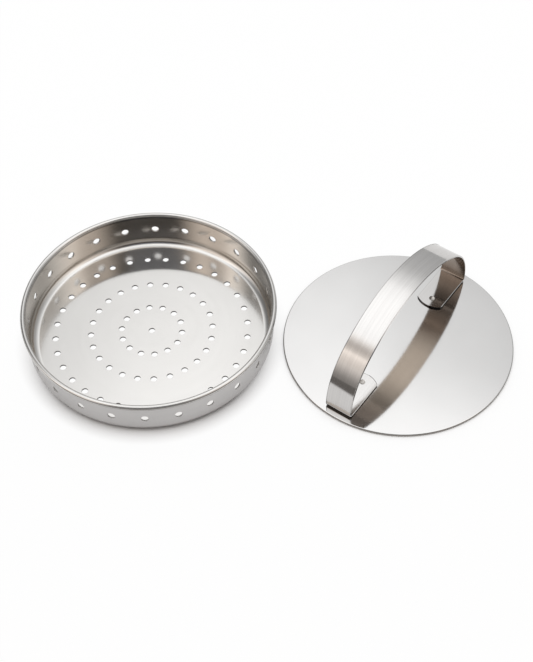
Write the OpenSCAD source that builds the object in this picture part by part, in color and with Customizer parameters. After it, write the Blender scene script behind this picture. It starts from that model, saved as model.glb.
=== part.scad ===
// Oil press set in stainless steel: a perforated drain pan with a rolled rim,
// and a round press plate with a bent strip handle, standing side by side.
// Origin: centre of the press plate's underside, on the table. +Z is up, and the pan stands towards -X.

/* [Drain pan] */
// Diameter over the rolled rim
rim_d = 180; // [140:1:240]
// Height from the table to the top of the rim
pan_h = 30.6; // [26:0.1:60]
// Thickness of the pan's sheet
pan_sheet = 1.2; // [0.6:0.1:1.4]
// Diameter of the rolled rim's round section
bead_d = 3.6; // [3:0.1:5]
// Angle that the rim is rolled through, from the wall outwards and down
bead_sweep = 275; // [200:5:280]
// Inner radius of the bend between the floor and the wall
corner_r = 6; // [1.5:0.1:8]

/* [Drain holes] */
// Diameter of the holes punched in the floor
floor_hole_d = 4.5; // [2:0.1:7]
// Radius of the inner ring of floor holes
inner_ring_r = 21.8; // [14:0.1:32]
// Number of holes in the inner ring
inner_ring_n = 14; // [6:1:16]
// Turn of the inner ring
inner_ring_turn = 24.5; // [0:0.5:60]
// Radius of the middle ring of floor holes
middle_ring_r = 43.7; // [38:0.1:52]
// Number of holes in the middle ring
middle_ring_n = 24; // [8:1:30]
// Turn of the middle ring
middle_ring_turn = 8.5; // [0:0.5:60]
// Distance from the corner bend in to the outer ring's hole centres
outer_ring_inset = 11.4; // [6:0.2:16]
// Number of holes in the outer ring
outer_ring_n = 32; // [8:1:40]
// Turn of the outer ring
outer_ring_turn = 9.5; // [0:0.5:60]
// Diameter of the holes punched in the wall
wall_hole_d = 5; // [2:0.1:8]
// Number of holes round the wall
wall_row_n = 24; // [8:1:36]
// Height of the wall holes above the floor
wall_row_z = 14.3; // [12:0.1:18]
// Turn of the wall holes
wall_row_turn = 4.5; // [0:0.5:60]

/* [Press plate] */
// Gap all round between the plate's edge and the pan's wall when the plate is in the pan
plate_clearance = 4.8; // [1:0.1:10]
// Thickness of the plate
plate_t = 2; // [1.6:0.1:3]
// Radius of the plate's softened edge
plate_edge_r = 0.7; // [0.2:0.05:0.75]
// Gap between the rim and the plate as they stand side by side
stand_gap = 4.6; // [2:0.2:60]

/* [Handle] */
// Width of the handle's strip
strip_w = 20; // [14:0.5:30]
// Thickness of the handle's strip
strip_t = 1.5; // [0.8:0.1:2]
// Distance from the plate's edge in to the handle's uprights
handle_inset = 4.6; // [2:0.2:20]
// Height of the handle's crown above the plate
handle_rise = 63.2; // [60:0.1:90]
// Height of each straight upright above the plate, with its foot bend
upright_h = 4.2; // [4:0.1:10]
// Outer radius of each shoulder between the upright and the crown
shoulder_r = 50; // [30:0.5:54]
// Inner radius of the bend between each upright and its foot
foot_bend_r = 1.5; // [0.8:0.1:2]
// Length of each foot, from the upright's outer face to the tip
foot_l = 38; // [25:0.5:50]
// Radius of each foot's rounded tip
foot_tip_r = 15; // [15:0.5:40]
// Turn of the handle about the plate's centre
handle_turn = 58; // [0:0.5:90]

/* [Spot welds] */
// Diameter of each weld nugget
weld_d = 4; // [2.5:0.1:6]
// Distance from a foot's tip to its weld
weld_inset = 7.5; // [5:0.5:12]
// Depth of the electrode's dimple over each weld
weld_dip = 0.3; // [0.1:0.05:0.5]
// Radial gap between a nugget and the hole that it fills
weld_gap = 0.05; // [0.02:0.01:0.1]

/* [Hidden] */
$fn = 96;
hole_fn = 32;
// Extra length that lets a cut run past the faces it cuts
past = 2;

// Pan sheet, in radius and height
bead_r = bead_d / 2;
rim_r = rim_d / 2;
wall_r_in = rim_r - bead_d;
wall_r_mid = wall_r_in + pan_sheet / 2;
bead_z = pan_h - bead_r;
floor_r = wall_r_in - corner_r;
corner_z = pan_sheet + corner_r;
outer_ring_r = floor_r - outer_ring_inset;
wall_hole_z = pan_sheet + wall_row_z;

// Press, with its plate sized from the pan
plate_r = wall_r_in - plate_clearance;
pan_x = -(rim_r + stand_gap + plate_r);

// Handle, in length and height, with its crown tangent to both shoulders
handle_half = plate_r - handle_inset;
shoulder_x = handle_half - shoulder_r;
shoulder_z = plate_t + upright_h;
crown_h = handle_rise - upright_h;
crown_r = (pow(shoulder_x, 2) + pow(crown_h, 2) - pow(shoulder_r, 2)) / (2 * (crown_h - shoulder_r));
crown_z = plate_t + handle_rise - crown_r;
crown_turn = atan2(shoulder_z - crown_z, shoulder_x);
foot_bend_out = foot_bend_r + strip_t;
foot_tip_x = handle_half - foot_l;
weld_x = foot_tip_x + weld_inset;

steel = "silver";
bright_steel = "gainsboro";

// A straight run of sheet between two corners
module run(low, high) {
    translate(low)
        square(high - low);
}

// Sheet of thickness t bent all the way round a centre, with inner radius r
module ring(centre, r, t) {
    translate(centre)
        difference() {
            circle(r + t);
            circle(r);
        }
}

// A bent run of sheet: a ring cut to a sweep
module bend(centre, r, t, from, sweep) {
    reach = 2 * (r + t);
    fan = [for (i = [0:8]) reach * [cos(from + sweep * i / 8), sin(from + sweep * i / 8)]];
    intersection() {
        ring(centre, r, t);
        translate(centre)
            polygon(concat([[0, 0]], fan));
    }
}

// Half section of the pan: floor, corner bend, wall and rolled rim
module pan_section() {
    run([0, 0], [floor_r, pan_sheet]);
    bend([floor_r, corner_z], corner_r, pan_sheet, 270, 90);
    run([wall_r_in, corner_z], [wall_r_in + pan_sheet, bead_z]);
    bend([wall_r_in + bead_r, bead_z], bead_r - pan_sheet, pan_sheet, 180 - bead_sweep, bead_sweep);
}

// A ring of upright punches through the floor
module floor_ring(r, n, turn) {
    for (i = [0:n - 1])
        rotate(turn + 360 * i / n)
            translate([r, 0, -past])
                cylinder(d = floor_hole_d, h = pan_sheet + 2 * past, $fn = hole_fn);
}

// A row of level punches through the wall
module wall_row() {
    for (i = [0:wall_row_n - 1])
        rotate(wall_row_turn + 360 * i / wall_row_n)
            translate([wall_r_mid, 0, wall_hole_z])
                rotate([0, 90, 0])
                    cylinder(d = wall_hole_d, h = pan_sheet + 2 * past, center = true, $fn = hole_fn);
}

// Pan: one drawn sheet with a flat floor, a rolled rim and punched drain holes
module drain_pan() {
    color(steel)
        translate([pan_x, 0, 0])
            difference() {
                rotate_extrude()
                    pan_section();
                floor_ring(0, 1, 0);
                floor_ring(inner_ring_r, inner_ring_n, inner_ring_turn);
                floor_ring(middle_ring_r, middle_ring_n, middle_ring_turn);
                floor_ring(outer_ring_r, outer_ring_n, outer_ring_turn);
                wall_row();
            }
}

// Plate: one round blank with both edges softened
module press_plate() {
    edge_x = plate_r - plate_edge_r;
    color(bright_steel)
        rotate_extrude() {
            run([0, 0], [edge_x, plate_t]);
            run([edge_x, plate_edge_r], [plate_r, plate_t - plate_edge_r]);
            bend([edge_x, plate_edge_r], 0, plate_edge_r, 270, 90);
            bend([edge_x, plate_t - plate_edge_r], 0, plate_edge_r, 0, 90);
        }
}

// The wedge of the handle's side view that the crown fills, between the two shoulders
module crown_wedge() {
    reach = 2 * crown_r;
    side_x = reach * cos(crown_turn);
    side_z = crown_z + reach * sin(crown_turn);
    top_z = crown_z + 2 * reach;
    polygon([[0, crown_z], [side_x, side_z], [side_x, top_z], [-side_x, top_z], [-side_x, side_z]]);
}

// One upright seen from the side: foot bend, straight and shoulder, up to the crown's wedge
module upright_section() {
    bend([handle_half - foot_bend_out, plate_t + foot_bend_out], foot_bend_r, strip_t, 270, 90);
    run([handle_half - strip_t, plate_t + foot_bend_out], [handle_half, shoulder_z]);
    intersection() {
        difference() {
            ring([shoulder_x, shoulder_z], shoulder_r - strip_t, strip_t);
            crown_wedge();
        }
        run([0, shoulder_z], [handle_half + past, plate_t + handle_rise]);
    }
}

// The handle's side view above its two feet
module handle_section() {
    intersection() {
        ring([0, crown_z], crown_r - strip_t, strip_t);
        crown_wedge();
    }
    upright_section();
    mirror([1, 0])
        upright_section();
}

// One foot seen from above: a tongue with a rounded tip and the hole that its weld fills
module foot_outline() {
    tip_x = foot_tip_x + foot_tip_r;
    half_w = strip_w / 2;
    difference() {
        intersection() {
            run([foot_tip_x, -half_w], [handle_half - foot_bend_out, half_w]);
            union() {
                translate([tip_x, 0])
                    circle(foot_tip_r);
                run([tip_x, -half_w], [handle_half, half_w]);
            }
        }
        translate([weld_x, 0])
            circle(weld_d / 2 + weld_gap, $fn = hole_fn);
    }
}

// Handle: one strip bent into an arch, with its two feet folded in flat on the plate
module handle_strip() {
    color(steel)
        rotate(handle_turn) {
            rotate([90, 0, 0])
                linear_extrude(strip_w, center = true)
                    handle_section();
            for (side = [0, 180])
                rotate(side)
                    translate([0, 0, plate_t])
                        linear_extrude(strip_t)
                            foot_outline();
        }
}

// Weld nugget through one foot, seated on the plate, with the electrode's dimple over it
module weld(side) {
    color(steel)
        rotate(handle_turn + side)
            translate([weld_x, 0, plate_t])
                cylinder(d = weld_d, h = strip_t - weld_dip, $fn = hole_fn);
}

// Weld in the foot nearer the front
module front_weld() {
    weld(180);
}

// Weld in the foot nearer the back
module back_weld() {
    weld(0);
}

drain_pan();
press_plate();
handle_strip();
front_weld();
back_weld();
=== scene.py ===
import math

import bmesh
import bpy
from mathutils import Matrix, Vector


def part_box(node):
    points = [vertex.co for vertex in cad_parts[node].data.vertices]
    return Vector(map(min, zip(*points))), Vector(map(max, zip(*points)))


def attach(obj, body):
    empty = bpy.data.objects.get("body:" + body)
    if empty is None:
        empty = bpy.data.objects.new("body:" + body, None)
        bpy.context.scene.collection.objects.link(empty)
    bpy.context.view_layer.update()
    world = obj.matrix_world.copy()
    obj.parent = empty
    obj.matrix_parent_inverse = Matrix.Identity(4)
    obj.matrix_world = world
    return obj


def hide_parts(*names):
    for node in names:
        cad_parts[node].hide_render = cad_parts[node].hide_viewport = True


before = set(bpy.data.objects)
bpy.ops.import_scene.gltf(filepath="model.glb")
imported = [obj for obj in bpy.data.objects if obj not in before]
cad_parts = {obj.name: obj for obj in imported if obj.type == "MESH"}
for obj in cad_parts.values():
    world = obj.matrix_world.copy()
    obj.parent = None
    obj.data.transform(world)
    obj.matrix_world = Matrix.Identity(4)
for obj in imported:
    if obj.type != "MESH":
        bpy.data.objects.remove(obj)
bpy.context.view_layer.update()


# Drain pan: one disc of stainless sheet, drawn into a shallow pan with a flat floor and a round corner.
# Its edge is rolled outwards into a hollow bead, and the inside is spun bright. The holes are punched
# last: a floor hole has a fine lip on its upper face, and a wall hole is softened on both faces.
MM = 0.001
pan_low, pan_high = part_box("drain_pan")
pan_centre = (pan_low + pan_high) / 2
pan_place = (pan_centre.x, pan_centre.y, 0)
rim_r = (pan_high.y - pan_low.y) / 2
pan_h = pan_high.z
pan_sheet = 1.2 * MM
bead_r = 1.8 * MM
bead_sweep = 275
wall_in = rim_r - 2 * bead_r
bead_x = wall_in + bead_r
bead_z = pan_h - bead_r
corner_r = 6.0 * MM
corner_z = pan_sheet + corner_r
floor_edge = wall_in - corner_r
floor_hole_r = 2.25 * MM
floor_lip = 0.08 * MM
# Each ring of floor holes: its radius, its number of holes and its turn in degrees
floor_rings = [(21.8 * MM, 14, 24.5), (43.7 * MM, 24, 8.5), (69 * MM, 32, 9.5)]
wall_hole_r = 2.5 * MM
wall_lip = 0.5 * MM
wall_row_z = pan_sheet + 14.3 * MM
wall_row_n = 24
wall_row_turn = 4.5
# How many facets go round a large piece and round a hole
round_facets = 360
hole_facets = 40


def arc(centre_x, centre_z, radius, start, end, steps):
    """Points of a section's round stretch, between two angles in degrees."""
    turns = [math.radians(start + (end - start) * i / steps) for i in range(steps + 1)]
    return [(centre_x + radius * math.cos(a), centre_z + radius * math.sin(a)) for a in turns]


def keep(name, bm, merge=1e-7):
    """The finished mesh as an object at the origin, with doubles merged and normals recalculated."""
    bmesh.ops.remove_doubles(bm, verts=bm.verts, dist=merge)
    bmesh.ops.recalc_face_normals(bm, faces=bm.faces)
    mesh = bpy.data.meshes.new(name)
    bm.to_mesh(mesh)
    bm.free()
    piece = bpy.data.objects.new(name, mesh)
    bpy.context.collection.objects.link(piece)
    return piece


def spun(name, section, segments, centre=(0, 0), first=0.3):
    """A solid of revolution about an upright axis, from its half section as (radius, height) points.

    The first column of points is turned by a share of a segment, so that none lies on an axis.
    """
    bm = bmesh.new()
    turns = [math.tau * (i + first) / segments for i in range(segments)]
    rings = []
    for radius, height in section:
        if radius == 0:
            rings.append([bm.verts.new((centre[0], centre[1], height))] * segments)
            continue
        rings.append([
            bm.verts.new((centre[0] + radius * math.cos(a), centre[1] + radius * math.sin(a), height))
            for a in turns
        ])
    for lower, upper in zip(rings, rings[1:]):
        for i in range(segments):
            j = (i + 1) % segments
            corners = [lower[i], lower[j], upper[j], upper[i]]
            bm.faces.new(list(dict.fromkeys(corners)))
    return keep(name, bm)


# Rings of points that part the floor's mesh between its rings of holes
floor_bands = [0, 11 * MM, 33 * MM, 56 * MM]
pan_section = (
    [(r, pan_sheet) for r in floor_bands]
    + arc(floor_edge, corner_z, corner_r, 270, 360, 18)
    + arc(bead_x, bead_z, bead_r, 180, 180 - bead_sweep, 28)
    + arc(bead_x, bead_z, bead_r - pan_sheet, 180 - bead_sweep, 180, 20)
    + arc(floor_edge, corner_z, corner_r + pan_sheet, 0, -90, 18)
    + [(r, 0) for r in reversed(floor_bands)]
)


class Wire:
    """A node's output. Arithmetic on it adds Math nodes to the same graph."""

    def __init__(self, graph, socket):
        self.graph = graph
        self.socket = socket

    def _math(self, operation, a, b):
        return self.graph.add("ShaderNodeMath", {"operation": operation}, {0: a, 1: b})

    def __add__(self, other):
        return self._math("ADD", self, other)

    def __radd__(self, other):
        return self._math("ADD", other, self)

    def __sub__(self, other):
        return self._math("SUBTRACT", self, other)

    def __rsub__(self, other):
        return self._math("SUBTRACT", other, self)

    def __mul__(self, other):
        return self._math("MULTIPLY", self, other)

    def __rmul__(self, other):
        return self._math("MULTIPLY", other, self)

    def __truediv__(self, other):
        return self._math("DIVIDE", self, other)

    def __rtruediv__(self, other):
        return self._math("DIVIDE", other, self)

    def __pow__(self, other):
        return self._math("POWER", self, other)

    def __rpow__(self, other):
        return self._math("POWER", other, self)


class Graph:
    """A node tree that is filled one node at a time."""

    def __init__(self, tree):
        self.tree = tree
        tree.nodes.clear()

    def add(self, kind, settings=None, sockets=None, out=0):
        """Adds a node: its settings first, then the values or links of its sockets."""
        node = self.tree.nodes.new(kind)
        for key, value in (settings or {}).items():
            if key == "stops":
                ramp = node.color_ramp.elements
                for i, (place, colour) in enumerate(value):
                    stop = ramp[i] if i < 2 else ramp.new(place)
                    stop.position = place
                    stop.color = (*colour, 1)
            else:
                setattr(node, key, value)
        for key, value in (sockets or {}).items():
            if isinstance(value, Wire):
                self.tree.links.new(value.socket, node.inputs[key])
            else:
                node.inputs[key].default_value = value
        return Wire(self, node.outputs[out]) if node.outputs else node

    def outlets(self, wire):
        """Every named output of the node that a wire comes from."""
        return {s.name: Wire(self, s) for s in wire.socket.node.outputs if s.name}

    def span(self, value, low, high, to_low=0.0, to_high=1.0, curve="SMOOTHSTEP"):
        """The value's span from low to high, moved to another span and held at its ends."""
        ends = {"From Min": low, "From Max": high, "To Min": to_low, "To Max": to_high}
        return self.add("ShaderNodeMapRange", {"interpolation_type": curve}, {"Value": value, **ends})

    def mixed(self, amount, first, second):
        """One colour turning into another, by an amount from 0 to 1."""
        pair = [c if isinstance(c, Wire) else (*c, 1) for c in (first, second)]
        return self.add("ShaderNodeMix", {"data_type": "RGBA"},
                        {"Factor": amount, 6: pair[0], 7: pair[1]}, out=2)


def punch_graph():
    """Geometry nodes: a ring of punches, upright or level and pointing outwards, cut through a piece."""
    tree = bpy.data.node_groups.new("punch_holes", "GeometryNodeTree")
    face = tree.interface
    face.new_socket("Geometry", in_out="INPUT", socket_type="NodeSocketGeometry")
    face.new_socket("Punch", in_out="INPUT", socket_type="NodeSocketObject")
    face.new_socket("Holes", in_out="INPUT", socket_type="NodeSocketInt")
    for label in ("Ring radius", "Turn", "Height"):
        face.new_socket(label, in_out="INPUT", socket_type="NodeSocketFloat")
    face.new_socket("Centre", in_out="INPUT", socket_type="NodeSocketVector")
    face.new_socket("Level", in_out="INPUT", socket_type="NodeSocketBool")
    face.new_socket("Steel", in_out="INPUT", socket_type="NodeSocketMaterial")
    face.new_socket("Geometry", in_out="OUTPUT", socket_type="NodeSocketGeometry")
    graph = Graph(tree)
    given = graph.outlets(graph.add("NodeGroupInput"))
    turn = graph.add("GeometryNodeInputIndex") * math.tau / given["Holes"]
    across = graph.add("ShaderNodeMath", {"operation": "COSINE"}, {0: turn}) * given["Ring radius"]
    along = graph.add("ShaderNodeMath", {"operation": "SINE"}, {0: turn}) * given["Ring radius"]
    spot = graph.add("ShaderNodeCombineXYZ", None, {"X": across, "Y": along})
    ring = graph.add("GeometryNodePoints", None, {"Count": given["Holes"], "Position": spot})
    place = graph.add("GeometryNodeInputPosition")
    outward = graph.add("FunctionNodeAlignRotationToVector", {"axis": "Z"}, {"Vector": place})
    upright = graph.add("FunctionNodeEulerToRotation")
    aim = graph.add("GeometryNodeSwitch", {"input_type": "ROTATION"},
                    {"Switch": given["Level"], "False": upright, "True": outward})
    shape = graph.add("GeometryNodeObjectInfo", {"transform_space": "ORIGINAL"},
                      {"Object": given["Punch"]}, out="Geometry")
    punches = graph.add("GeometryNodeInstanceOnPoints", None,
                        {"Points": ring, "Instance": shape, "Rotation": aim})
    lift = graph.add("ShaderNodeCombineXYZ", None, {"Z": given["Height"]})
    shift = graph.add("ShaderNodeVectorMath", {"operation": "ADD"}, {0: given["Centre"], 1: lift})
    spin = graph.add("ShaderNodeCombineXYZ", None, {"Z": given["Turn"]})
    placed = graph.add("GeometryNodeTransform", None,
                       {"Geometry": punches, "Translation": shift, "Rotation": spin})
    solid = graph.add("GeometryNodeRealizeInstances", None, {"Geometry": placed})
    cut = graph.add("GeometryNodeMeshBoolean", {"operation": "DIFFERENCE", "solver": "MANIFOLD"},
                    {"Mesh 1": given["Geometry"], "Mesh 2": solid}, out="Mesh")
    steel = graph.add("GeometryNodeSetMaterial", None, {"Geometry": cut, "Material": given["Steel"]})
    graph.add("NodeGroupOutput", None, {"Geometry": steel})
    return tree


punch_tree = punch_graph()
punch_inputs = [s for s in punch_tree.interface.items_tree if s.in_out == "INPUT"]
punch_sockets = {s.name: s.identifier for s in punch_inputs}


def settle(piece):
    """Turns what a piece's modifiers give into its plain mesh, and removes them."""
    seen = piece.evaluated_get(bpy.context.evaluated_depsgraph_get())
    mesh = bpy.data.meshes.new_from_object(seen)
    piece.modifiers.clear()
    piece.data = mesh


def smooth(piece, angle=35):
    """Round faces shade smoothly, edges sharper than the angle stay crisp, and large faces stay flat."""
    for face in piece.data.polygons:
        face.use_smooth = True
    piece.data.set_sharp_from_angle(angle=math.radians(angle))
    even = piece.modifiers.new("even", "WEIGHTED_NORMAL")
    even.mode = "FACE_AREA"
    even.weight = 100
    even.keep_sharp = True
    settle(piece)


def punch_through(piece, rounds, steel):
    """Cuts rounds of holes through a piece, which is then one plain mesh with crisp hole edges."""
    for given in rounds:
        step = piece.modifiers.new("punch", "NODES")
        step.node_group = punch_tree
        for label, value in {**given, "Steel": steel}.items():
            step[punch_sockets[label]] = value
    settle(piece)
    smooth(piece)


def punch(name, radius, sheet, lip, back_lip=0):
    """A punch about the middle of a sheet, flared to soften the hole's edge on one face or on both."""
    half = sheet / 2
    section = [(0, -half - sheet), (radius + back_lip, -half - sheet)]
    if back_lip:
        section += arc(radius + back_lip, back_lip - half, back_lip, 270, 180, 3)
    section += arc(radius + lip, half - lip, lip, 180, 90, 3)
    section += [(radius + lip, half + sheet), (0, half + sheet)]
    return spun(name, section, hole_facets)


class Steel(Graph):
    """A stainless finish: a metal whose grain shows in its bump and its gloss."""

    def __init__(self, name):
        self.material = bpy.data.materials.new(name)
        self.material.use_nodes = True
        super().__init__(self.material.node_tree)
        self.place = self.add("ShaderNodeTexCoord", out="Object")

    def axes(self, centre, turn=0):
        """X, Y and Z from a centre, turned about the upright axis."""
        local = self.add("ShaderNodeMapping", {"vector_type": "TEXTURE"},
                         {"Vector": self.place, "Location": centre, "Rotation": (0, 0, turn)})
        return self.outlets(self.add("ShaderNodeSeparateXYZ", None, {0: local})).values()

    def noise(self, x, y, z, detail=2.0):
        """Soft noise from 0 to 1 over three coordinates that are already scaled."""
        where = self.add("ShaderNodeCombineXYZ", None, {"X": x, "Y": y, "Z": z})
        return self.add("ShaderNodeTexNoise", None, {"Vector": where, "Scale": 1.0, "Detail": detail})

    def at_least(self, value, least):
        """The value, held from falling below a least."""
        return self.add("ShaderNodeMath", {"operation": "MAXIMUM"}, {0: value, 1: least})

    def size(self, value):
        """The value without its sign."""
        return self.add("ShaderNodeMath", {"operation": "ABSOLUTE"}, {0: value})

    def finish(self, colour, roughness, grain, depth, form=0.0):
        """Ends the material: the metal's colour and gloss, its grain of a depth, and its broad form."""
        swell = self.add("ShaderNodeBump", None, {"Strength": 1.0, "Distance": 1.0, "Height": form})
        relief = self.add("ShaderNodeBump", None,
                          {"Strength": 1.0, "Distance": depth, "Height": grain, "Normal": swell})
        metal = self.add("ShaderNodeBsdfPrincipled", None,
                         {"Base Color": colour, "Metallic": 1.0, "Roughness": roughness, "Normal": relief})
        self.add("ShaderNodeOutputMaterial", None, {"Surface": metal})
        return self.material


def spun_steel():
    """The pan's finish: spun lines on a bright floor, a painted warm reflection on the wall, and a dull
    outside with painted shade at its base.

    The floor is slightly domed and the wall leans slightly out, which shows only in what they mirror.
    """
    line_scale = 2600
    band_scale = 260
    patch_scale = 45
    line_depth = 0.003 * MM
    # The dome falls with the square of the radius, and the wall leans with its height, in metres
    floor_dome = 0.237
    wall_lean = 0.052
    steel = Steel("spun_steel")
    x, y, z = steel.axes(pan_place)
    radius = (x * x + y * y) ** 0.5
    turn = steel.add("ShaderNodeMath", {"operation": "ARCTAN2"}, {0: y, 1: x})
    lines = steel.noise(radius * line_scale, z * line_scale, turn * 3, 3.0)
    bands = steel.noise(radius * band_scale, z * band_scale, turn * 1.5)
    patches = steel.noise(x * patch_scale, y * patch_scale, z * patch_scale, 3.0)
    worn = bands * 0.5 + patches * 0.5

    # How far a point lies from the sheet's inner face, through the floor, the corner and the wall
    past_floor = steel.at_least(radius - floor_edge, 0.0)
    below_bend = steel.at_least(corner_z - z, 0.0)
    into_sheet = (past_floor * past_floor + below_bend * below_bend) ** 0.5 - corner_r

    bead = steel.span(z, bead_z - 1.5 * MM, bead_z - 0.5 * MM)
    wall = steel.span(z, pan_sheet + 0.2 * MM, pan_sheet + 3 * MM) * (1 - bead)
    outside = steel.span(into_sheet, 0.3 * MM, pan_sheet - 0.2 * MM) * (1 - bead)
    cut = (steel.span(into_sheet, 0.04 * MM, 0.14 * MM)
           * steel.span(into_sheet, pan_sheet - 0.25 * MM, pan_sheet - 0.1 * MM, 1.0, 0.0)
           * (1 - bead))
    # A band on the inner face just under the bead is painted dark: painted shade in the crease between
    # bead and wall.
    under_bead_shade = (steel.span(z, bead_z - 1.7 * MM, bead_z - 1.1 * MM)
              * steel.span(z, bead_z - 0.5 * MM, bead_z, 1.0, 0.0)
              * (1 - outside))
    # The outside is painted darker towards the base: painted shade where it meets the table.
    painted_base_shade = steel.span(z, 2 * MM, 7 * MM, 1.0, 0.0)
    dragged = steel.span(radius, 63 * MM, 74 * MM, 0.0, 0.09) * (1 - wall)

    bright = steel.mixed(worn, (0.66, 0.65, 0.635), (0.6, 0.59, 0.575))
    # The wall's warm tint is a painted warm reflection, not a colour of the steel.
    warm_reflection_tint = steel.mixed(worn, (0.67, 0.63, 0.58), (0.61, 0.57, 0.52))
    dull = steel.mixed(worn, (0.6, 0.59, 0.585), (0.53, 0.52, 0.515))
    skirt = steel.mixed(painted_base_shade, dull, (0.17, 0.16, 0.155))
    sheet = steel.mixed(outside, steel.mixed(wall, bright, warm_reflection_tint), skirt)
    shaded_under_bead = steel.mixed(under_bead_shade * 0.8, sheet, (0.16, 0.14, 0.125))
    # The bores of the floor holes are painted dark, as painted shade inside the holes; the bores of the
    # wall holes keep a plain steel tone.
    bore_colour = steel.mixed(wall, (0.13, 0.125, 0.12), (0.6, 0.59, 0.58))
    colour = steel.mixed(cut, shaded_under_bead, bore_colour)

    roughness = 0.07 + worn * 0.06 + wall * 0.07 + outside * 0.14 + cut * 0.2 + dragged
    level_r = steel.add("ShaderNodeMath", {"operation": "MINIMUM"}, {0: radius, 1: floor_edge})
    wall_z = steel.add("ShaderNodeClamp", None, {"Value": z, "Min": corner_z, "Max": bead_z - 1 * MM})
    form = level_r * level_r * -floor_dome - wall_z * wall_lean * (1 - outside)
    return steel.finish(colour, roughness, lines, line_depth, form)


pan_steel = spun_steel()
floor_punch = punch("floor_punch", floor_hole_r, pan_sheet, floor_lip)
wall_punch = punch("wall_punch", wall_hole_r, pan_sheet, wall_lip, wall_lip)
pan_rounds = [{"Punch": floor_punch, "Holes": 1, "Ring radius": 0.0, "Turn": 0.0,
               "Height": pan_sheet / 2, "Centre": pan_place, "Level": False}]
for radius, count, turn in floor_rings:
    pan_rounds.append({**pan_rounds[0], "Holes": count, "Ring radius": radius, "Turn": math.radians(turn)})
pan_rounds.append({"Punch": wall_punch, "Holes": wall_row_n, "Ring radius": wall_in + pan_sheet / 2,
                   "Turn": math.radians(wall_row_turn), "Height": wall_row_z,
                   "Centre": pan_place, "Level": True})
drain_pan = spun("DrainPan", pan_section, round_facets, (pan_centre.x, pan_centre.y))
punch_through(drain_pan, pan_rounds, pan_steel)
for tool in (floor_punch, wall_punch):
    bpy.data.objects.remove(tool)
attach(drain_pan, "pan")
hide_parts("drain_pan")


# Press plate: a round blank of thicker stainless sheet, ground to a fine satin and with its cut edge
# softened all round. It lies flat, and carries the handle on its upper face. What it mirrors shows
# a slight crown, which is left to its finish.
plate_low, plate_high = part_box("press_plate")
plate_r = (plate_high.y - plate_low.y) / 2
plate_top = plate_high.z
plate_edge = 0.7 * MM
plate_crown = 0.34
plate_section = (
    [(0, 0)]
    + arc(plate_r - plate_edge, plate_edge, plate_edge, -90, 0, 6)
    + arc(plate_r - plate_edge, plate_top - plate_edge, plate_edge, 0, 90, 6)
    + [(r, plate_top) for r in (60 * MM, 30 * MM, 0)]
)


def satin_steel():
    """The plate's finish: a soft even satin with a faint straight grain, and a darker cut edge."""
    grain_turn = math.radians(20)
    grain_scale = 3000
    grain_run = 30
    grain_depth = 0.0006 * MM
    patch_scale = 35
    steel = Steel("satin_steel")
    x, y, z = steel.axes((0, 0, 0), grain_turn)
    grain = steel.noise(x * grain_run, y * grain_scale, z * grain_scale, 3.0)
    patches = steel.noise(x * patch_scale, y * patch_scale, z * patch_scale, 3.0)
    radius = (x * x + y * y) ** 0.5
    edge = steel.span(radius, plate_r - 0.4 * MM, plate_r - 0.15 * MM)
    face = steel.mixed(patches, (0.66, 0.655, 0.65), (0.62, 0.615, 0.61))
    colour = steel.mixed(edge, face, (0.3, 0.285, 0.27))
    roughness = 0.06 + patches * 0.04 + edge * 0.3
    return steel.finish(colour, roughness, grain, grain_depth, radius * radius * -plate_crown)


press_plate = spun("PressPlate", plate_section, round_facets)
press_plate.data.materials.append(satin_steel())
smooth(press_plate)
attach(press_plate, "press")
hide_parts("press_plate")


# Handle: one stainless strip, polished lengthwise and bent into an arch. Each end is folded in
# under the arch as a foot with a rounded tip, which lies flat on the plate and is welded to it.
strip_t = 1.5 * MM
half_t = strip_t / 2
strip_half = 10 * MM
strip_edge = 0.3 * MM
handle_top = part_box("handle_strip")[1].z
handle_half = plate_r - 4.6 * MM
handle_turn = math.radians(58)
shoulder_r = 50 * MM
shoulder_x = handle_half - shoulder_r
shoulder_z = plate_top + 4.2 * MM
crown_h = handle_top - shoulder_z
crown_r = (shoulder_x ** 2 + crown_h ** 2 - shoulder_r ** 2) / (2 * (crown_h - shoulder_r))
crown_z = handle_top - crown_r
crown_turn = math.degrees(math.atan2(shoulder_z - crown_z, shoulder_x))
foot_bend = 1.5 * MM
foot_tip = handle_half - 38 * MM
tip_r = 15 * MM
weld_r = 2.0 * MM
weld_lip = 0.1 * MM
weld_x = foot_tip + 7.5 * MM


def strip_stations():
    """Stations along one half of the strip: place in its plane, way to the outer face, half width."""
    tip_steps = 14
    foot_steps = 8
    stations = []
    foot_z = plate_top + half_t
    flare = math.asin(strip_half / tip_r)
    for i in range(1, tip_steps + 1):
        a = flare * i / tip_steps
        stations.append(((foot_tip + tip_r * (1 - math.cos(a)), foot_z), (0, -1), tip_r * math.sin(a)))
    tip_end = stations[-1][0][0]
    bend_x = handle_half - strip_t - foot_bend
    for i in range(1, foot_steps + 1):
        stations.append(((tip_end + (bend_x - tip_end) * i / foot_steps, foot_z), (0, -1), strip_half))
    bend_z = plate_top + strip_t + foot_bend
    for x, z, r, start, end, steps in (
        (bend_x, bend_z, foot_bend + half_t, -90, 0, 10),
        (shoulder_x, shoulder_z, shoulder_r - half_t, 0, crown_turn, 60),
        (0, crown_z, crown_r - half_t, crown_turn, 90, 50),
    ):
        for i in range(steps + 1):
            a = math.radians(start + (end - start) * i / steps)
            way = (math.cos(a), math.sin(a))
            stations.append(((x + r * way[0], z + r * way[1]), way, strip_half))
    return stations


def strip_section():
    """The strip's section, as (thickness, width) points round its middle.

    Two opposite corners are rounded. The other two turn in, so the faces lie an edge's depth further in.
    """
    inset_t = half_t - strip_edge
    inset_w = strip_half - strip_edge
    section = []
    for side_t, side_w, start in ((1, 1, 0), (1, -1, 90), (-1, -1, 180), (-1, 1, 270)):
        section += arc(side_t * inset_t, side_w * inset_w, strip_edge, start, start + 90, 3)
    return section


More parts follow.
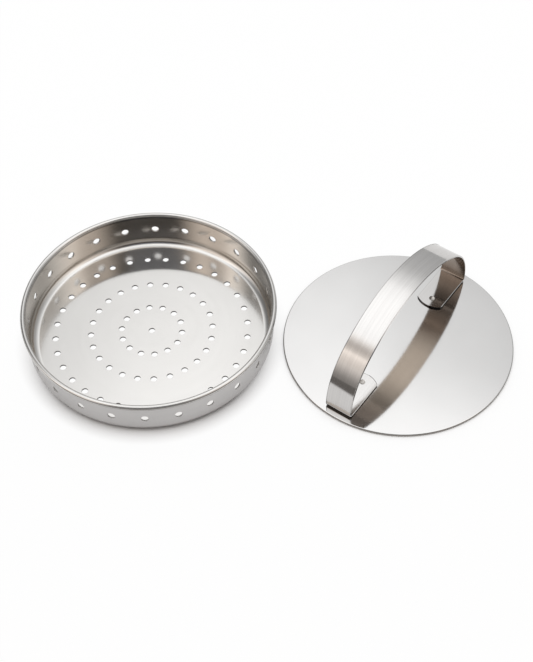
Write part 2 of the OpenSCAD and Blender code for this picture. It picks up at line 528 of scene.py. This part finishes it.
def strip_mesh():
    """The strip as a section swept from tip to tip, cut to each station's width."""
    half = strip_stations()
    whole = half + [((-p[0], p[1]), (-n[0], n[1]), w) for p, n, w in reversed(half[:-1])]
    section = strip_section()
    along = Vector((math.cos(handle_turn), math.sin(handle_turn), 0))
    across = Vector((-math.sin(handle_turn), math.cos(handle_turn), 0))
    up = Vector((0, 0, 1))
    bm = bmesh.new()
    rows = []
    for (s, z), (way_s, way_z), width in whole:
        row = []
        for out_t, out_w in section:
            held_w = max(min(out_w, width), -width)
            spot = along * (s + way_s * out_t) + across * held_w + up * (z + way_z * out_t)
            row.append(bm.verts.new(spot))
        rows.append(row)
    count = len(section)
    for lower, upper in zip(rows, rows[1:]):
        for i in range(count):
            j = (i + 1) % count
            bm.faces.new((lower[i], lower[j], upper[j], upper[i]))
    bm.faces.new(rows[0])
    bm.faces.new(rows[-1])
    return keep("HandleStrip", bm)


def strip_steel():
    """The strip's finish: polished lengthwise outside, painted reflection and shade inside, painted shade
    at heels and cut ends.
    """
    line_scale = 3500
    line_run = 12
    line_depth = 0.002 * MM
    streak_scale = 1100
    streak_run = 10
    band_scale = 260
    band_run = 9
    arch_middle = (0, 0, plate_top + 10 * MM)
    tan_middle = 12 * MM
    tip_end = -10.5 * MM
    steel = Steel("strip_steel")
    along, across, up = steel.axes((0, 0, 0), handle_turn)
    lines = steel.noise(across * line_scale, along * line_run, up * line_run, 3.0)
    streaks = steel.noise(across * streak_scale, along * streak_run, up * streak_run, 3.0)
    bands = steel.noise(across * band_scale, along * band_run, up * band_run)
    polish = bands * 0.4 + steel.span(streaks, 0.35, 0.65) * 0.6

    # The inner face looks towards the arch's middle
    facing = steel.add("ShaderNodeTexCoord", out="Normal")
    from_middle = steel.add("ShaderNodeVectorMath", {"operation": "SUBTRACT"},
                            {0: steel.place, 1: arch_middle})
    outward = steel.add("ShaderNodeVectorMath", {"operation": "DOT_PRODUCT"},
                        {0: facing, 1: from_middle}, out="Value")
    inner = steel.span(outward, -30 * MM, -14 * MM, 1.0, 0.0)
    crown = steel.span(steel.size(along - tan_middle), 16 * MM, 52 * MM, 1.0, 0.0)
    # The inner face is painted with reflection and shade: tan in the middle of the arch, brown towards its
    # ends.
    bright = steel.mixed(polish, (0.65, 0.64, 0.63), (0.595, 0.585, 0.575))
    inner_reflection_tan = steel.mixed(bands, (0.75, 0.645, 0.54), (0.6, 0.505, 0.415))
    inner_shade_brown = steel.mixed(bands, (0.27, 0.225, 0.19), (0.19, 0.155, 0.13))
    polish_and_inner_shade = steel.mixed(inner, bright, steel.mixed(crown, inner_shade_brown, inner_reflection_tan))

    # The underside of each heel and the cut end of each foot are painted dark, as painted shade in the gap
    # under each heel and at each tip.
    foot = steel.span(up, plate_top + 1.7 * MM, plate_top + 2.4 * MM, 1.0, 0.0)
    facing_up = steel.add("ShaderNodeSeparateXYZ", None, {0: facing}, out="Z")
    heel_shade = (steel.span(facing_up, -0.3, -0.08, 1.0, 0.0)
            * steel.span(up, plate_top + 3.2 * MM, plate_top + 3.8 * MM, 1.0, 0.0))
    tip_run = steel.size(along) - (foot_tip + tip_r)
    from_tip = (tip_run * tip_run + across * across) ** 0.5
    tip_end_shade = (steel.span(from_tip, tip_r - 0.3 * MM, tip_r - 0.12 * MM)
               * steel.span(tip_run, tip_end - 0.3 * MM, tip_end + 0.3 * MM, 1.0, 0.0)
               * foot)
    colour = steel.mixed(1 - (1 - heel_shade) * (1 - tip_end_shade), polish_and_inner_shade, (0.06, 0.052, 0.046))

    # The feet follow the plate's crown
    form = (along * along + across * across - handle_half * handle_half) * foot * -plate_crown
    roughness = 0.07 + bands * 0.06 + inner * 0.05
    return steel.finish(colour, roughness, lines, line_depth, form)


strip_finish = strip_steel()
weld_punch = punch("weld_punch", weld_r, strip_t, weld_lip)
foot_rounds = [{"Punch": weld_punch, "Holes": 2, "Ring radius": weld_x, "Turn": handle_turn,
                "Height": plate_top + half_t, "Centre": (0, 0, 0), "Level": False}]
handle_strip = strip_mesh()
punch_through(handle_strip, foot_rounds, strip_finish)
bpy.data.objects.remove(weld_punch)
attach(handle_strip, "press")
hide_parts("handle_strip")


# Spot welds: where the electrodes fused each foot to the plate. Each one fills its hole in the foot
# and is left as a small round dish of metal, dulled and faintly browned by the heat.
weld_dip = 0.3 * MM
weld_rise = strip_t - 0.05 * MM
dish_steps = 8


def weld_steel():
    """The weld's finish: dull, finely pitted steel."""
    pit_scale = 2500
    pit_depth = 0.02 * MM
    steel = Steel("weld_steel")
    x, y, z = steel.axes((0, 0, 0))
    pits = steel.noise(x * pit_scale, y * pit_scale, z * pit_scale, 3.0)
    colour = steel.mixed(pits, (0.62, 0.60, 0.57), (0.48, 0.45, 0.42))
    return steel.finish(colour, steel.span(pits, 0.3, 0.7, 0.25, 0.4), pits, pit_depth)


weld_finish = weld_steel()
weld_section = [(0, plate_top), (weld_r, plate_top)]
for step in range(dish_steps, -1, -1):
    share = step / dish_steps
    weld_section.append((weld_r * share, plate_top + weld_rise - weld_dip * (1 - share ** 2)))
for name, node, side in (("FrontWeld", "front_weld", -1), ("BackWeld", "back_weld", 1)):
    weld_place = (side * weld_x * math.cos(handle_turn), side * weld_x * math.sin(handle_turn))
    weld = spun(name, weld_section, hole_facets, weld_place)
    weld.data.materials.append(weld_finish)
    smooth(weld)
    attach(weld, "press")
    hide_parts(node)


# Table: a plain white sheet that both pieces stand on, seen white by the camera and in the steel, with the
# soft shadow of the pieces left on it. In the steel it ends a little in front of the pieces, and the dim
# floor beyond it begins.
table_size = 2.4
table_z = -0.1 * MM
shadow_reach = 12 * MM
table_end = -0.114
eye_azimuth = math.radians(4.52)
flat_right = Vector((math.cos(eye_azimuth), math.sin(eye_azimuth), 0))
flat_away = Vector((-math.sin(eye_azimuth), math.cos(eye_azimuth), 0))
bm = bmesh.new()
bmesh.ops.create_grid(bm, x_segments=1, y_segments=1, size=table_size / 2)
bmesh.ops.translate(bm, verts=bm.verts, vec=(pan_centre.x / 2, 0, table_z))
table = keep("Table", bm)
white = bpy.data.materials.new("white_table")
white.use_nodes = True
paper = Graph(white.node_tree)
spot = paper.add("ShaderNodeTexCoord", out="Object")
rays = paper.outlets(paper.add("ShaderNodeLightPath"))
eye = rays["Is Camera Ray"]
gloss = rays["Is Glossy Ray"]
through = rays["Is Transmission Ray"]

# The shadow: full in front of the pieces and faint behind them, and none through the pan's floor holes
from_pan = paper.add("ShaderNodeVectorMath", {"operation": "DISTANCE"},
                     {0: spot, 1: (pan_centre.x, pan_centre.y, table_z)}, out="Value")
below_pan = paper.add("ShaderNodeMath", {"operation": "LESS_THAN"}, {0: from_pan, 1: floor_edge - 2 * MM})
open_sky = paper.add("ShaderNodeAmbientOcclusion", {"samples": 8}, {"Distance": shadow_reach}, out="AO")
lightness = paper.span(open_sky, 0.42, 1.0, 0.0, 0.95, "LINEAR")
depth = paper.add("ShaderNodeVectorMath", {"operation": "DOT_PRODUCT"},
                  {0: spot, 1: flat_away}, out="Value")
front = paper.span(depth, -0.05, 0.02, 1.0, 0.3, "LINEAR")
clear = 1 - (1 - lightness) * front
shown = (eye + (gloss + through) * 0.5) * clear * (1 - below_pan) + eye * below_pan

lit = paper.add("ShaderNodeBsdfDiffuse", None, {"Color": (0.95, 0.95, 0.95, 1)})
glow = paper.add("ShaderNodeEmission", None, {"Color": (1, 1, 1, 1), "Strength": 1.0})
sheet = paper.add("ShaderNodeMixShader", None, {0: shown, 1: lit, 2: glow})
beyond = paper.span(depth, table_end - 8 * MM, table_end + 8 * MM, 1.0, 0.0, "LINEAR")
dim_floor = paper.add("ShaderNodeEmission", None, {"Color": (1.0, 0.93, 0.87, 1), "Strength": 0.17})
seen = paper.add("ShaderNodeMixShader", None, {0: beyond * gloss, 1: sheet, 2: dim_floor})
paper.add("ShaderNodeOutputMaterial", None, {"Surface": seen})
table.data.materials.append(white)


# Studio: a soft white dome that is brightest overhead, with panels of light round it and the dark behind
# the camera, and a low fill on the camera's side. The camera itself sees plain white.
world = bpy.data.worlds.new("Studio")
bpy.context.scene.world = world
world.use_nodes = True
dome = Graph(world.node_tree)
way = dome.add("ShaderNodeTexCoord", out="Generated")
side, away, rise = dome.outlets(dome.add("ShaderNodeSeparateXYZ", None, {0: way})).values()
forward = 0 - away / (side * side + away * away) ** 0.5
# Light by height, as the sine of the elevation
heights =[(0.0, 0.66), (0.24, 0.72), (0.5, 0.8), (0.6, 0.92), (0.71, 1.18), (0.79, 1.32),
           (0.86, 1.45), (0.92, 1.55), (0.955, 1.58), (0.985, 1.3), (1.0, 1.22)]
# Light by azimuth in degrees: 0 is straight ahead of the camera, 90 its right and 180 behind it
panels = [(-180, 0.07), (-152, 0.07), (-138, 0.7), (-125, 1.25), (-112, 1.3), (-93, 1.65), (-80, 0.8),
          (-68, 0.25), (-50, 0.3), (-36, 0.5), (-22, 0.8), (-10, 0.98), (-3, 1.03), (3, 1.0), (10, 0.87),
          (20, 0.8), (35, 0.68), (50, 0.6), (68, 0.6), (85, 1.0), (106, 1.42), (128, 1.0), (142, 0.4),
          (152, 0.07), (180, 0.07)]


def by_stops(value, stops):
    """A light level that follows a value from stop to stop."""
    most = max(level for place, level in stops)
    greys = [(place, (level / most,) * 3) for place, level in stops]
    return dome.add("ShaderNodeValToRGB", {"stops": greys}, {0: value}) * most


azimuth = dome.add("ShaderNodeMath", {"operation": "ARCTAN2"}, {0: side, 1: away})
panel_turn = azimuth / math.tau + (0.5 + eye_azimuth / math.tau)
height_light = by_stops(rise, heights)
panel_light = by_stops(panel_turn, [((a + 180) / 360, level) for a, level in panels])

# The overhead light hangs over the panels. On the camera's side a dark seam with lighter flanks parts
# them, and a small cool light hangs above the camera.
overhead = dome.span(rise - dome.span(forward, 0.6, 0.9, 0.0, 0.06), 0.78, 0.89)
low_dark = dome.span(forward, 0.0, 0.4, 0.0, 0.75) * dome.span(rise, 0.0, 0.55, 1.0, 0.0)
flank = dome.span(forward, 0.45, 0.72) * dome.span(forward, 0.88, 0.99, 1.0, 0.0)
seam = (dome.span(forward, 0.1, 0.4, 0.0, 0.62) * (1 - flank)
        * dome.span(rise, 0.66, 0.775) * dome.span(rise, 0.78, 0.88, 1.0, 0.0))
above_eye = (dome.span(forward, 0.82, 0.95)
             * dome.span(rise, 0.71, 0.78) * dome.span(rise, 0.82, 0.9, 1.0, 0.0))
fill = dome.span(forward, 0.55, 0.8, 0.0, 0.36) * dome.span(rise, 0.4, 0.54, 1.0, 0.0)
round_light = height_light * (panel_light * (1 - overhead) + overhead)
light = round_light * (1 - low_dark) * (1 - seam) + above_eye * 0.3 + fill

sight = dome.add("ShaderNodeLightPath", out="Is Camera Ray")
level = dome.add("ShaderNodeMix", {"data_type": "FLOAT"}, {"Factor": sight, 2: light, 3: 1.0})
warmth = (dome.span(forward, -0.3, 0.6) * (1 - overhead) * (1 - above_eye)
          * (1 - fill * 2) * (1 - sight))
warm = dome.mixed(warmth, (1, 1, 1), (1.0, 0.91, 0.84))
tone = dome.mixed(above_eye * (1 - sight), warm, (0.88, 0.96, 1.12))
sky = dome.add("ShaderNodeBackground", None, {"Color": tone, "Strength": level})
dome.add("ShaderNodeOutputWorld", None, {"Surface": sky})
bpy.context.scene.view_settings.view_transform = "Standard"


# Camera: standing in front of the pair, a little to the right of square, and looking steeply down on it.
# It is level to within about a degree, and its lens is given in pixels of the picture's height.
lens_px = 1294.55
frame_h_px = 662
eye_elevation = math.radians(51.03)
eye_distance = 0.9303
eye_roll = math.radians(-1.1)
aim_side = 82.3 * MM
aim_depth = -1.64 * MM
aim = Vector(pan_place) + flat_right * aim_side + flat_away * aim_depth
back = Vector((0, 0, math.sin(eye_elevation))) - flat_away * math.cos(eye_elevation)
flat_up = back.cross(flat_right)
right = flat_right * math.cos(eye_roll) + flat_up * math.sin(eye_roll)
upward = flat_up * math.cos(eye_roll) - flat_right * math.sin(eye_roll)
camera = bpy.data.objects.new("Camera", bpy.data.cameras.new("Camera"))
bpy.context.collection.objects.link(camera)
camera.data.lens = camera.data.sensor_width * lens_px / frame_h_px
camera.data.clip_start = 10 * MM
turned = Matrix((right, upward, back)).transposed().to_4x4()
camera.matrix_world = Matrix.Translation(aim + back * eye_distance) @ turned
bpy.context.scene.camera = camera
